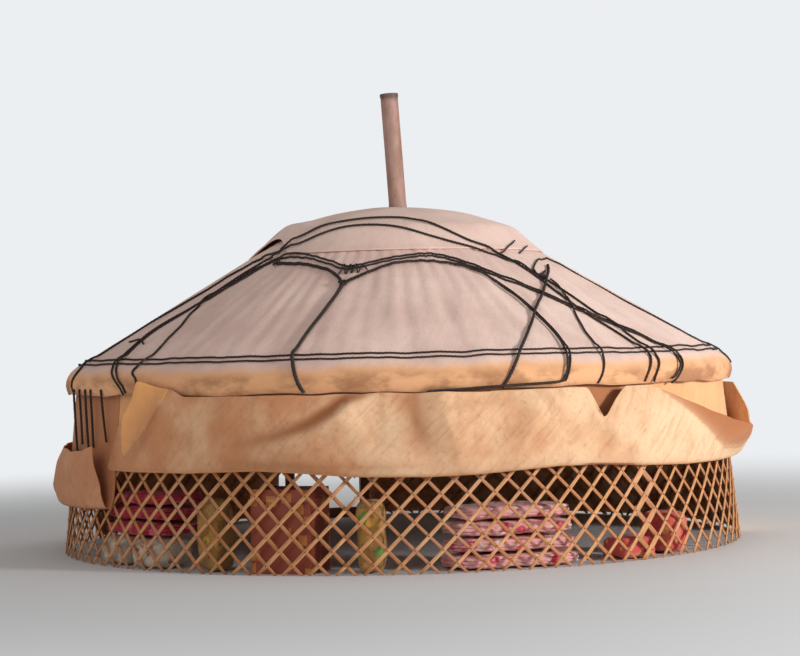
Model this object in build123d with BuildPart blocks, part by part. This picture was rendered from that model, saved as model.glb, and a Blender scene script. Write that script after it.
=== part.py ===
from math import atan2, ceil, cos, degrees, hypot, pi, radians, sin, sqrt, tan
import os

from build123d import *

# A round felt tent on a folding lattice wall, with the wall felt turned up off the ground in
# front and at the left, and hanging down behind.
# Millimetres. The origin is at the centre of the ground plan and +Z is up.
# Bearings are degrees round the tent from its front (-Y), towards +X.

# Lattice wall
lattice_foot_radius = 3030
lattice_head_radius = lattice_foot_radius - 165
lattice_height = 1640
lattice_sections = 7
heads_per_section = 12
bays_per_section = 6
row_pitch = 106.7
lath_width = 30
lath_thickness = 12

# Doorway
door_bearing = -164
door_angle = 18
door_post_width = 88
door_post_depth = 70
door_threshold_height = 100
door_lintel_height = 100
curtain_roll_radius = 62
curtain_roll_drop = 169

# Roof
roof_pitch = 30.7
shoulder_radius = lattice_head_radius + 35
shoulder_height = lattice_height + 10
hem_swell_radius = shoulder_radius + 100
hem_swell_height = shoulder_height - 150
hem_radius = hem_swell_radius - 15
hem_height = hem_swell_height - 90
felt_thickness = 14
roof_panels = 8
bays_per_panel = 6
pole_width = 30
pole_depth = 30
pole_end_radius = lattice_head_radius + 20
door_poles = 3

# Crown
crown_radius = 1040
crown_rim_width = 70
crown_rim_depth = 90
crown_dome_radius = 2800
crown_rise = 260.6
spoke_count = 8
spoke_width = 32
spoke_depth = 42
hub_outer_radius = 205
hub_inner_radius = 125
crown_felt_lap = 25
cover_hole_radius = hub_inner_radius + 7
cover_dome_radius = crown_radius + 43
cover_shoulder_radius = crown_radius + 180
cover_shoulder_lift = 58
cover_hem_radius = crown_radius + 305
flap_start_radius = crown_radius - 350
flap_lift = 9
flap_bearing = -60
flap_bays = 6

# Chimney
pipe_radius = 80
pipe_wall = 2
pipe_rise = 1060
pipe_drop = 565
pipe_lean = 3.1
pipe_offset = 30
pipe_band_width = 30
pipe_band_thickness = 4
collar_plate_radius = hub_outer_radius - 30
collar_plate_thickness = 3
collar_sleeve_height = 55

# Wall felt, folded up on itself in front and hanging down behind
wall_felt_top = lattice_height - 60
hung_felt_foot = 20
fold_swell = 122
fold_top_swell = 66
fold_foot_height = 750
fold_top_height = hem_height - 25
low_fold_foot_height = 490
low_fold_top_height = low_fold_foot_height + 450

# Ropes
rope_radius = 11
upper_ring_radius = shoulder_radius - 78
lower_ring_radius = shoulder_radius - 20
drawn_shoulder_radius = 2900

clearance = 0.3
fork_clearance = 3.6
flap_gap = 1.6
solid_height = 4200

# Derived sizes
wall_angle = 360 - door_angle
bay_count = lattice_sections * bays_per_section
bay_angle = wall_angle / bay_count
first_bearing = door_bearing + door_angle / 2
head_angle = wall_angle / (lattice_sections * heads_per_section)
heads_per_bay = heads_per_section // bays_per_section
wall_lean = degrees(atan2(lattice_foot_radius - lattice_head_radius, lattice_height))
lath_reach = lath_thickness / cos(radians(wall_lean))
roof_slope = tan(radians(roof_pitch))
roof_bay_angle = 360 / (roof_panels * bays_per_panel)
felt_drop = felt_thickness / cos(radians(roof_pitch))
pole_top_drop = (felt_thickness + clearance) / cos(radians(roof_pitch))
pole_drop = pole_top_drop + pole_depth / cos(radians(roof_pitch))
crown_rim_top = shoulder_height + (shoulder_radius - crown_radius) * roof_slope - felt_drop - clearance
crown_top_height = shoulder_height + (shoulder_radius - crown_radius) * roof_slope + crown_rise
pipe_top_height = crown_top_height + pipe_rise
pipe_bottom_height = crown_top_height - pipe_drop


def ground_angle(bearing):
    """Turns a bearing into an angle from +X, anticlockwise."""
    return bearing - 90


def spot(bearing, radius, height=0):
    """The point at a bearing, a distance from the centre and a height."""
    turn = radians(ground_angle(bearing))
    return Vector(radius * cos(turn), radius * sin(turn), height)


def roof_height(radius):
    """Height of the roof felt's outer face over the cone of the roof."""
    return shoulder_height + (shoulder_radius - radius) * roof_slope


def wall_radius(height):
    """Radius of the plane where the two layers of laths meet, in the middle of a bay."""
    lean = (lattice_foot_radius - lattice_head_radius) / lattice_height
    return lattice_foot_radius - lean * height


def bays(outline, angle, count):
    """An outline carried round the axis in flat bays with mitred corners, centred on +X."""
    outer = max(x for x, _ in outline) * 1.01
    half = outer * tan(radians(angle / 2))
    with BuildPart() as bay:
        with BuildSketch(Plane.XZ):
            with BuildLine():
                Polyline(*outline, close=True)
            make_face()
        extrude(amount=half, both=True)
        with BuildSketch():
            Polygon((0, 0), (outer, -half), (outer, half), align=None)
        extrude(amount=solid_height, mode=Mode.INTERSECT)
    with BuildPart() as ring:
        with PolarLocations(0, count, start_angle=-angle * (count - 1) / 2, angular_range=angle * count):
            add(bay.part)
    return ring.part


def skin(path, thickness):
    """The closed outline of a sheet of felt: a path and its offset to the left."""
    with BuildSketch() as sheet:
        with BuildLine():
            Polyline(*path)
            offset(amount=thickness, side=Side.LEFT, kind=Kind.INTERSECTION)
        make_face()
    outline = sheet.sketch.face().outer_wire().order_edges()
    return [(edge.position_at(0).X, edge.position_at(0).Y) for edge in outline]


def turned(piece, bearing):
    """A piece made on the +X axis, turned to a bearing."""
    return piece.rotate(Axis.Z, ground_angle(bearing))


def save(piece, label):
    """Labels a finished piece and writes it."""
    piece.label = label
    export_step(piece, f"parts/{label}.step")
    print(label, len(piece.solids()), round(piece.volume / 1000), "cm3")


os.makedirs("parts", exist_ok=True)

# Lattice wall: an outer layer of laths leaning one way and an inner layer leaning the other,
# riveted where they cross. The heads fork to hold the roof poles.
pitch = 2 * row_pitch
head_width = wall_radius(lattice_height) * radians(head_angle)
lath_slope = pitch / head_width
half_rise = lath_width / 2 * sqrt(1 + lath_slope**2)
half_run = half_rise / lath_slope
wall_taper = (lattice_foot_radius - lattice_head_radius) / lattice_height
shoulder_run = (shoulder_radius - lattice_foot_radius - lath_reach) * roof_slope
pole_seat = (shoulder_height + shoulder_run - pole_drop) / (1 - wall_taper * roof_slope)
fork_crossing = pole_seat - (pole_width / 2 + fork_clearance + half_run) * lath_slope
rise = heads_per_bay * pitch
overrun = 0.05
lattice_plane = Plane(
    origin=(lattice_foot_radius, 0, 0),
    x_dir=(0, 1, 0),
    z_dir=(cos(radians(wall_lean)), 0, sin(radians(wall_lean))),
)


def on_bay(share, height):
    """A point on the plane of a bay: share runs from -1 to 1 across it."""
    across = wall_radius(height) * tan(radians(bay_angle / 2)) * share
    return across, height / cos(radians(wall_lean))


def run_on(direction, low, high):
    """A lath's edge from one side of a bay to the other, carried a little past both."""
    a, b = Vector(*on_bay(-direction, low)), Vector(*on_bay(direction, high))
    ends = (a + (a - b) * overrun, b + (b - a) * overrun)
    return [(end.X, end.Y) for end in ends]


def lath_faces(direction):
    """The laths of one layer within a bay, leaning right (1) or left (-1)."""
    start = fork_crossing - ceil((fork_crossing + rise) / pitch) * pitch
    while start < lattice_height:
        lower_edge = run_on(direction, start - half_rise, start + rise - half_rise)
        upper_edge = run_on(direction, start + half_rise, start + rise + half_rise)
        Polygon(*lower_edge, *reversed(upper_edge), align=None)
        start += pitch


with BuildPart() as lattice_bay:
    with BuildSketch(lattice_plane):
        lath_faces(1)
    extrude(amount=lath_thickness)
    with BuildSketch(lattice_plane):
        lath_faces(-1)
    extrude(amount=-lath_thickness)
    outside = lattice_foot_radius * 1.05
    with BuildSketch():
        half = outside * tan(radians(bay_angle / 2))
        Polygon((0, 0), (outside, -half), (outside, half), align=None)
    extrude(amount=lattice_height, mode=Mode.INTERSECT)

section_angle = bay_angle * bays_per_section
first_turn = -bay_angle * (bays_per_section - 1) / 2
with BuildPart() as lattice_section:
    with PolarLocations(0, bays_per_section, start_angle=first_turn, angular_range=section_angle):
        add(lattice_bay.part)
for section in range(lattice_sections):
    middle = first_bearing + section_angle * (section + 0.5)
    save(turned(lattice_section.part, middle), f"lattice_section_{section + 1}")


# Wall felt: hung on the lattice under the roof hem. In front and at the left its foot is
# turned up outside, and behind it hangs down to the ground.
def felt_face(height):
    """Radius of the felt's inner face, against the lattice."""
    return wall_radius(height) + lath_reach + clearance


def hung_felt(foot):
    """Path of the inner face of a felt that hangs straight down."""
    return [(felt_face(wall_felt_top), wall_felt_top), (felt_face(foot), foot)]


def folded_felt(foot, top):
    """Path of a turned-up felt: down the lattice, round the fold and up again."""
    swell = felt_face(foot) + fold_swell
    return [
        (felt_face(wall_felt_top), wall_felt_top),
        (felt_face(foot + 60), foot + 60),
        (felt_face(foot) + 26, foot + 12),
        (felt_face(foot) + 62, foot),
        (swell - 18, foot + 24),
        (swell, foot + 95),
        (swell - 8, foot + (top - foot) * 0.5),
        (felt_face(top) + fold_top_swell + lath_reach * 4, top),
    ]


wall_felts = [
    ("wall_felt_back_left", hung_felt(hung_felt_foot)),
    ("wall_felt_left", folded_felt(low_fold_foot_height, low_fold_top_height)),
    ("wall_felt_front_left", folded_felt(fold_foot_height, fold_top_height)),
    ("wall_felt_front_right", folded_felt(fold_foot_height, fold_top_height)),
    ("wall_felt_right", folded_felt(fold_foot_height, fold_top_height)),
    ("wall_felt_back_right", hung_felt(hung_felt_foot)),
    ("wall_felt_back", hung_felt(hung_felt_foot)),
]
for index, (label, path) in enumerate(wall_felts):
    middle = first_bearing + section_angle * (index + 0.5)
    outline = skin(path, felt_thickness)
    save(turned(bays(outline, bay_angle, bays_per_section), middle), label)

# Roof felt: a cone over the poles, with a hem that hangs over the head of the wall.
roof_path = [
    (hem_radius, hem_height),
    (hem_swell_radius, hem_swell_height),
    ((shoulder_radius + hem_swell_radius) / 2 + 25, (shoulder_height + hem_swell_height) / 2),
    (shoulder_radius, shoulder_height),
    (crown_radius - crown_felt_lap, roof_height(crown_radius - crown_felt_lap)),
]
roof_outline = skin(roof_path, felt_thickness)
roof_panel = bays(roof_outline, roof_bay_angle, bays_per_panel)
panel_angle = roof_bay_angle * bays_per_panel
for panel in range(roof_panels):
    save(turned(roof_panel, panel_angle * (panel + 0.5)), f"roof_felt_{panel + 1}")

# Roof poles: each sits in a fork of the lattice, or on the lintel, and butts on the crown.
inner_end = crown_radius + clearance
pole_outline = [
    (inner_end, roof_height(inner_end) - pole_drop),
    (pole_end_radius, roof_height(pole_end_radius) - pole_drop),
    (pole_end_radius, roof_height(pole_end_radius) - pole_top_drop),
    (inner_end, roof_height(inner_end) - pole_top_drop),
]
with BuildPart() as pole:
    with BuildSketch(Plane.XZ):
        with BuildLine():
            Polyline(*pole_outline, close=True)
        make_face()
    extrude(amount=pole_width / 2, both=True)

wall_heads = [first_bearing + head_angle * n for n in range(lattice_sections * heads_per_section + 1)]
lintel_step = door_angle / (door_poles + 1)
lintel_heads = [door_bearing + lintel_step * (n - (door_poles - 1) / 2) for n in range(door_poles)]
quarters = ["back_left", "front_left", "front_right", "back_right"]
for quarter, label in enumerate(quarters):
    low = -180 + 90 * quarter
    with BuildPart() as roof_poles:
        for bearing in wall_heads + lintel_heads:
            if low <= (bearing + 180) % 360 - 180 < low + 90:
                with Locations(Rotation(0, 0, ground_angle(bearing))):
                    add(pole.part)
    save(roof_poles.part, f"roof_poles_{label}")

# Crown: a heavy rim that takes the pole ends, and a light dome of spokes round a hub.
rim_inner = crown_radius - crown_rim_width
with BuildPart() as crown_rim:
    with BuildSketch(Plane.XZ):
        with Locations((crown_radius - crown_rim_width / 2, crown_rim_top - crown_rim_depth / 2)):
            Rectangle(crown_rim_width, crown_rim_depth)
    revolve(axis=Axis.Z)
save(crown_rim.part, "crown_rim")


def dome_height(radius, drop=0):
    """Height on the dome of the crown, or a depth below it."""
    return crown_top_height - crown_dome_radius + sqrt((crown_dome_radius - drop) ** 2 - radius**2)


spoke_end = crown_radius - crown_felt_lap - felt_thickness * sin(radians(roof_pitch)) - 5
spoke_foot = spoke_end - spoke_depth
spoke_start = hub_outer_radius - 4
hub_middle = (hub_inner_radius + hub_outer_radius) / 2
with BuildPart() as spoke:
    with BuildSketch(Plane.XZ):
        with BuildLine():
            halfway = (spoke_start + spoke_foot) / 2
            top_start = (spoke_start, dome_height(spoke_start))
            top_end = (spoke_end, dome_height(spoke_end))
            top_middle = (halfway, dome_height(halfway))
            low_start = (spoke_start, dome_height(spoke_start, spoke_depth))
            low_end = (spoke_foot, dome_height(spoke_foot, spoke_depth))
            low_middle = (halfway, dome_height(halfway, spoke_depth))
            ThreePointArc(top_start, top_middle, top_end)
            Polyline(top_end, (spoke_end, crown_rim_top), (spoke_foot, crown_rim_top), low_end)
            ThreePointArc(low_end, low_middle, low_start)
            Line(low_start, top_start)
        make_face()
    extrude(amount=spoke_width / 2, both=True)
with BuildPart() as crown_spokes:
    with PolarLocations(0, spoke_count, start_angle=360 / spoke_count / 2):
        add(spoke.part)
    with BuildSketch(Plane.XZ):
        with Locations((hub_middle, dome_height(hub_outer_radius) - spoke_depth / 2)):
            Rectangle(hub_outer_radius - hub_inner_radius, spoke_depth)
    revolve(axis=Axis.Z)
save(crown_spokes.part, "crown_spokes")

# Crown cover: a felt cap on the spokes, its hem on the roof felt. One part is lifted as a
# smoke flap.
dome_radii = [cover_hole_radius, (cover_hole_radius + flap_start_radius) / 2, flap_start_radius]
dome_radii += [(flap_start_radius + cover_dome_radius) / 2, cover_dome_radius]
dome_step = max(b - a for a, b in zip(dome_radii, dome_radii[1:]))
cover_lift = dome_step**2 / 8 / crown_dome_radius + clearance
cover_path = [(radius, dome_height(radius) + cover_lift) for radius in dome_radii]
cover_path += [
    (cover_shoulder_radius, roof_height(cover_shoulder_radius) + cover_shoulder_lift),
    (cover_hem_radius, roof_height(cover_hem_radius) + clearance),
]
cover_outline = skin(cover_path, felt_thickness)
inner_outline = skin(cover_path[:3], felt_thickness)
flap_outline = skin(cover_path[2:], felt_thickness)
cover_bays = roof_panels * bays_per_panel
with BuildPart() as crown_cover:
    add(turned(bays(cover_outline, roof_bay_angle, cover_bays - flap_bays), flap_bearing + 180))
    add(turned(bays(inner_outline, roof_bay_angle, flap_bays), flap_bearing))
save(crown_cover.part, "crown_cover")

hinge_point = spot(flap_bearing, flap_start_radius, cover_path[2][1] + felt_thickness / 2)
hinge_axis = Axis(hinge_point, spot(flap_bearing + 90, 1))
crown_flap = turned(bays(flap_outline, roof_bay_angle - 0.4, flap_bays), flap_bearing)
crown_flap = crown_flap.rotate(hinge_axis, -flap_lift).moved(Location(spot(flap_bearing, flap_gap)))
save(crown_flap, "crown_flap")

# Chimney: a rusty stovepipe leaning in a sheet-metal collar on the hub.
hub_top = dome_height(hub_outer_radius)
pipe_foot = Vector(pipe_offset + (hub_top - pipe_bottom_height) * tan(radians(pipe_lean)), 0, pipe_bottom_height)
pipe_plane = Plane(
    origin=pipe_foot,
    x_dir=(cos(radians(pipe_lean)), 0, sin(radians(pipe_lean))),
    z_dir=(-sin(radians(pipe_lean)), 0, cos(radians(pipe_lean))),
)
pipe_length = (pipe_top_height - pipe_bottom_height) / cos(radians(pipe_lean))
with BuildPart() as chimney_pipe:
    with BuildSketch(pipe_plane):
        Circle(pipe_radius)
    extrude(amount=pipe_length)
    with BuildSketch(pipe_plane.offset(pipe_length - pipe_band_width)):
        Circle(pipe_radius + pipe_band_thickness)
    extrude(amount=pipe_band_width)
    with BuildSketch(pipe_plane):
        Circle(pipe_radius - pipe_wall)
    extrude(amount=pipe_length, mode=Mode.SUBTRACT)
save(chimney_pipe.part, "chimney_pipe")

collar_level = (hub_top - pipe_bottom_height) / cos(radians(pipe_lean))
with BuildPart() as pipe_collar:
    with BuildSketch(Plane.XY.offset(hub_top)):
        with Locations((pipe_offset, 0)):
            Circle(collar_plate_radius - pipe_offset)
    extrude(amount=collar_plate_thickness)
    with BuildSketch(pipe_plane.offset(collar_level)):
        Circle(pipe_radius + pipe_wall + clearance)
    extrude(amount=collar_sleeve_height)
    with BuildSketch(pipe_plane.offset(collar_level - pipe_radius)):
        Circle(pipe_radius + clearance)
    extrude(amount=collar_sleeve_height + 2 * pipe_radius, mode=Mode.SUBTRACT)
    with BuildSketch(Plane.XY.offset(hub_top)):
        Rectangle(crown_radius, crown_radius)
    extrude(amount=-pipe_radius, mode=Mode.SUBTRACT)
save(pipe_collar.part, "pipe_collar")

# Door frame: two posts under a lintel in the gap of the lattice, with a threshold. The lintel
# bends with the wall, so that the poles over the doorway rest on it.
lintel_top = roof_height(pole_end_radius) - pole_drop - clearance
lintel_bottom = lintel_top - door_lintel_height
lintel_bays = 4
lintel_bay_angle = (door_angle - 0.2) / lintel_bays
gap_half_width = (wall_radius(lattice_height) - lath_reach) * sin(radians(door_angle / 2)) - 4
door_middle = pole_end_radius - 20 - door_post_depth / 2
door_plane = Plane(origin=spot(door_bearing, 0), x_dir=spot(door_bearing, 1), z_dir=(0, 0, 1))
post_centre = gap_half_width - door_post_width / 2
with BuildPart() as door_posts:
    with BuildSketch(door_plane):
        with Locations((door_middle, post_centre), (door_middle, -post_centre)):
            Rectangle(door_post_depth, door_post_width)
    extrude(amount=lintel_bottom)
save(door_posts.part, "door_posts")

lintel_outline = [
    (pole_end_radius - door_post_depth, lintel_bottom),
    (pole_end_radius, lintel_bottom),
    (pole_end_radius, lintel_top),
    (pole_end_radius - door_post_depth, lintel_top),
]
with BuildPart() as door_rails:
    add(turned(bays(lintel_outline, lintel_bay_angle, lintel_bays), door_bearing))
    with BuildSketch(door_plane):
        with Locations((door_middle, 0)):
            Rectangle(door_post_depth, 2 * (gap_half_width - door_post_width))
    extrude(amount=door_threshold_height)
save(door_rails.part, "door_lintel_and_threshold")

# Door curtain: a felt sheet on the lintel, rolled up and tied over the doorway.
curtain_plane = Plane(origin=(0, 0, 0), x_dir=spot(door_bearing, 1), z_dir=-spot(door_bearing + 90, 1))
sheet_front = pole_end_radius / cos(radians(lintel_bay_angle / 2)) + clearance
curtain_top = lintel_top - 25
curtain_roll_height = lintel_bottom - curtain_roll_drop
with BuildPart() as door_curtain:
    with BuildSketch(curtain_plane):
        with Locations((sheet_front + curtain_roll_radius, curtain_roll_height)):
            Circle(curtain_roll_radius)
        with Locations((sheet_front + felt_thickness / 2, (curtain_roll_height + curtain_top) / 2)):
            Rectangle(felt_thickness, curtain_top - curtain_roll_height)
    extrude(amount=gap_half_width - 10, both=True)
save(door_curtain.part, "door_curtain")


# Ropes: two rings at the eave, and tie ropes laid over the roof and knotted where they cross.
def hexagon(radius, height, size):
    """Corner points of a hexagon standing at a radius and height."""
    return [(radius + size * cos(pi * k / 3), height + size * sin(pi * k / 3)) for k in range(6)]


rope_rise = (rope_radius + clearance) / cos(radians(roof_pitch))
with BuildPart() as eave_ropes:
    for ring_radius in (upper_ring_radius, lower_ring_radius):
        ring_outline = hexagon(ring_radius, roof_height(ring_radius) + rope_rise, rope_radius)
        add(bays(ring_outline, roof_bay_angle, cover_bays))
save(eave_ropes.part, "eave_ropes")

outer_profile = [(radius, height + felt_thickness + 2) for radius, height in cover_path[:5]]
outer_profile += [
    (cover_shoulder_radius + 12, cover_path[5][1] + felt_thickness),
    (cover_hem_radius + 14, roof_height(cover_hem_radius) + felt_thickness),
    (cover_hem_radius + 22, roof_height(cover_hem_radius + 22)),
    (upper_ring_radius - 20, roof_height(upper_ring_radius - 20)),
    (upper_ring_radius - 8, roof_height(upper_ring_radius) + 2 * rope_rise + 4),
    (lower_ring_radius + 8, roof_height(lower_ring_radius) + 2 * rope_rise + 4),
    (hem_swell_radius, shoulder_height - 40),
]


def covering_height(x, y):
    """Height of what lies topmost at a place in plan: cap, roof felt or eave rope."""
    turn = degrees(atan2(y, x)) % roof_bay_angle - roof_bay_angle / 2
    apothem = hypot(x, y) * cos(radians(turn))
    for (r0, z0), (r1, z1) in zip(outer_profile, outer_profile[1:]):
        if apothem <= r1:
            return z0 + (z1 - z0) * (apothem - r0) / (r1 - r0)
    return outer_profile[-1][1]


def drape(route):
    """Lays a rope's route on the roof, high enough for each straight run to clear it."""
    reach = shoulder_radius / drawn_shoulder_radius
    plan = [spot(bearing, radius * reach) for bearing, radius in route]
    heights = [covering_height(p.X, p.Y) for p in plan]
    lifts = [0.0] * len(plan)
    for i in range(len(plan) - 1):
        for step in range(25):
            share = step / 24
            p = plan[i] + (plan[i + 1] - plan[i]) * share
            need = covering_height(p.X, p.Y) - heights[i] * (1 - share) - heights[i + 1] * share
            lifts[i] = max(lifts[i], need)
            lifts[i + 1] = max(lifts[i + 1], need)
    return [Vector(p.X, p.Y, z + lift + rope_rise) for p, z, lift in zip(plan, heights, lifts)]


def over_hem(bearing):
    """The end of a tie rope, down the outside of the hem."""
    outside_hem = hem_swell_radius / cos(radians(roof_bay_angle / 2)) + rope_radius + clearance
    return [
        spot(bearing, outside_hem, hem_swell_height + 10),
        spot(bearing, outside_hem, hem_height - 10),
    ]


upper_tie = [(-74, 2960), (-74, 2780), (-75, 2340), (-73, 1900), (-73, 1450), (-55, 1400), (-41, 1290)]
upper_tie += [(-28, 1050), (-15, 965), (-4, 945), (8, 997), (19, 1127), (28, 1230), (38, 1370)]
upper_tie += [(41, 1530), (41, 1830), (43, 2200), (45, 2550), (45, 2780), (45, 2960)]
second_tie = [(-36, 1270), (-27, 1150), (-15, 1094), (-4, 1105), (8, 1150), (18, 1240), (31, 1360), (38, 1420)]
lower_tie = [(-66, 2960), (-66, 2780), (-65, 2450), (-61, 2060), (-55, 1683), (-46, 1440), (-31, 1440)]
lower_tie += [(-19, 1542), (-13, 1600), (-5, 1510), (6, 1440), (16, 1460), (27, 1691), (34, 1930), (40, 2260)]
lower_tie += [(45, 2560), (49, 2780), (49, 2960)]
left_fall = [(-44, 1480), (-30, 1530), (-20, 1640), (-15, 1814), (-14, 2000), (-15.5, 2300), (-17, 2600)]
left_fall += [(-17, 2780), (-17, 2960)]
front_fall = [(-14, 1853), (-9, 1700), (-1, 1560), (7, 1530), (17, 1570), (25, 1740), (28.5, 2000)]
front_fall += [(29.5, 2400), (29, 2780), (29, 2960)]
right_fall = [(42, 1806), (39, 2100), (36, 2480), (34.5, 2780), (34.5, 2960)]
cap_loop = [(73, 2511), (75, 2263), (72, 1900), (65, 1560), (56, 1520), (47, 1620), (42, 1806)]
cap_pull = [(62, 1541), (50, 1700), (41, 1900), (32, 2199), (25, 2500), (20, 2780), (20, 2960)]


def tube(points):
    """A rope of six sides along straight runs."""
    with BuildPart() as rope:
        with BuildLine() as route:
            Polyline(*points)
        with BuildSketch(Plane(origin=route.line @ 0, z_dir=route.line % 0)):
            RegularPolygon(rope_radius, 6)
        sweep(path=route.line, transition=Transition.RIGHT)
    return rope.part


ropes = []
for route in (upper_tie, lower_tie, left_fall, front_fall, right_fall, cap_pull, second_tie, cap_loop):
    points = drape(route)
    if route[-1][1] > drawn_shoulder_radius:
        points += over_hem(route[-1][0])
    if route[0][1] > drawn_shoulder_radius:
        points = list(reversed(over_hem(route[0][0]))) + points
    ropes.append(tube(points))
with BuildPart() as tie_ropes:
    for rope in ropes:
        add(rope)
save(tie_ropes.part, "tie_ropes")


# Bedding and goods stacked inside against the lattice, seen through it.
def soft_block(bearing, back, width, depth, low, high, softness):
    """A folded quilt or a bundle: a rounded block set against the lattice, or a little back."""
    lattice_face = wall_radius(high - softness) - lath_reach - clearance
    reach = sqrt(lattice_face**2 - (width / 2) ** 2) - back
    side = spot(bearing + 90, 1)
    middle = spot(bearing, reach - depth / 2, (low + high) / 2)
    with BuildPart() as block:
        with BuildSketch(Plane(origin=middle, x_dir=spot(bearing, 1), z_dir=side)):
            RectangleRounded(depth, high - low, softness)
        extrude(amount=width / 2, both=True)
    return block.part


quilt = 125
bundle = 250
left_quilts = []
for n in range(3):
    low = bundle + clearance + n * (quilt + clearance)
    left_quilts.append(soft_block(-50, 12 * n, 900, 480, low, low + quilt, 55))
left_bundles = [soft_block(bearing, 0, 420, 420, 0, bundle, 90) for bearing in (-55, -45)]
right_quilts = []
for n in range(4):
    low = n * (quilt + clearance)
    right_quilts.append(soft_block(18, 8 * n, 1100 - 40 * n, 520, low, low + quilt, 55))
sacks = [soft_block(bearing, 0, 240, 300, 0, 580, 110) for bearing in (-32, -5)]
small_bundles = [soft_block(40, 3, 380, 340, 0, 190, 80), soft_block(50, 3, 330, 340, 0, 360, 110)]
goods = [
    ("left_bedding", left_quilts + left_bundles),
    ("right_bedding", right_quilts),
    ("grain_sacks", sacks),
    ("small_bundles", small_bundles),
]
for label, blocks in goods:
    with BuildPart() as pile:
        for block in blocks:
            add(block)
    save(pile.part, label)

chest_bearing = -19
chest_width = 500
chest_depth = 420
chest_height = 660
chest_lip = 12
chest_face = wall_radius(chest_height) - lath_reach - clearance
chest_reach = sqrt(chest_face**2 - (chest_width / 2 + chest_lip) ** 2)
chest_plane = Plane(origin=spot(chest_bearing, 0), x_dir=spot(chest_bearing, 1), z_dir=(0, 0, 1))
with BuildPart() as storage_chest:
    with BuildSketch(chest_plane):
        with Locations((chest_reach - chest_lip - chest_depth / 2, 0)):
            Rectangle(chest_depth, chest_width)
    extrude(amount=chest_height)
    with BuildSketch(chest_plane.offset(chest_height * 0.85)):
        with Locations((chest_reach - chest_lip - chest_depth / 2, 0)):
            Rectangle(chest_depth + 2 * chest_lip, chest_width + 2 * chest_lip)
    extrude(amount=24)
save(storage_chest.part, "storage_chest")
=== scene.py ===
import bmesh
import bpy
import numpy as np
from mathutils import Matrix, Vector, noise


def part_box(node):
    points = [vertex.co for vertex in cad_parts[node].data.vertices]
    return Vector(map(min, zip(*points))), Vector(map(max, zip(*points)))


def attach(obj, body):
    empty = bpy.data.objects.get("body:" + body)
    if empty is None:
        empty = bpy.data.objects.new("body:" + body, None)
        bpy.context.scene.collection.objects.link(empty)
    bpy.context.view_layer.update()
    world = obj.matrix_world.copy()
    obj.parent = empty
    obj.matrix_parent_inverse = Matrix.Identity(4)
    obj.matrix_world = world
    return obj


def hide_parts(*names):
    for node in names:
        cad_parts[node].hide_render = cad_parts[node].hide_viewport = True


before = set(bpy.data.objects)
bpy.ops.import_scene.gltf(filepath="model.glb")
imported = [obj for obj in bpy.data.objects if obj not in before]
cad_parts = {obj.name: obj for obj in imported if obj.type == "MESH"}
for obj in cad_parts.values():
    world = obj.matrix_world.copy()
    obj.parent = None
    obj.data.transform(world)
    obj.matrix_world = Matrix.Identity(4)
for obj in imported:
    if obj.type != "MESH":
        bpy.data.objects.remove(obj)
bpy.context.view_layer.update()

# Lattice wall. Seven folding sections of split willow laths, an outer layer leaning one way and an
# inner layer leaning the other, riveted with rawhide where they cross. Two sections are set off
# from their neighbours by part of a diamond, so that the laths are doubled where they overlap.
foot_radius, head_radius, wall_height = 3.030, 2.865, 1.640
layers_meet, wall_lean = 0.003, 0.1
# The wall starts at one side of the doorway and ends at the other.
first_bearing, wall_turn = -155.0, 342
sections, heads = 7, 12
head_angle = wall_turn / (sections * heads)
diamond_height, lowest_row, rows_of_pins = 0.2134, 0.0753, 15
lath_width, lath_thick, shortest_lath = 0.029, 0.0115, 0.03
lath_step, lath_bends, bend_size = 0.09, 7, 0.006
set_off = 0.13
section_shifts = (0, 0, 0, 0, set_off, 0, set_off)


def place(bearing, radius, height):
    """Points at bearings in degrees from the front towards +X, at radii and heights in metres."""
    turn = np.radians(bearing)
    return np.stack(np.broadcast_arrays(radius * np.sin(turn), -radius * np.cos(turn), height), -1)


def wall_radius(height):
    """Where the two layers of laths meet."""
    return foot_radius + layers_meet - (foot_radius - head_radius) * height / wall_height


def patch(points, ring=False, caps=False, along=None, across=None, tone=0.5, paint=0):
    """A grid of points that becomes part of a piece. Its lengths along and across place the grain,
    its tone makes it paler or darker, and paint says which of the piece's finishes it has."""
    points = np.asarray(points, float)
    rows, columns = points.shape[:2]
    usual_step = 0.02
    if along is None:
        along = np.arange(rows) * usual_step
    if across is None:
        across = np.arange(columns + 1) * usual_step
    return dict(points=points, ring=ring, caps=caps, along=along, across=across, tone=tone, paint=paint)


def stand(name, mesh, finishes, nodes):
    """Puts a mesh in the scene in its finishes, and lets it stand for its CAD nodes."""
    for finish in finishes:
        mesh.materials.append(finish)
    thing = bpy.data.objects.new(name, mesh)
    bpy.context.scene.collection.objects.link(thing)
    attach(thing, "root")
    if nodes:
        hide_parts(*nodes)
    return thing


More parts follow.
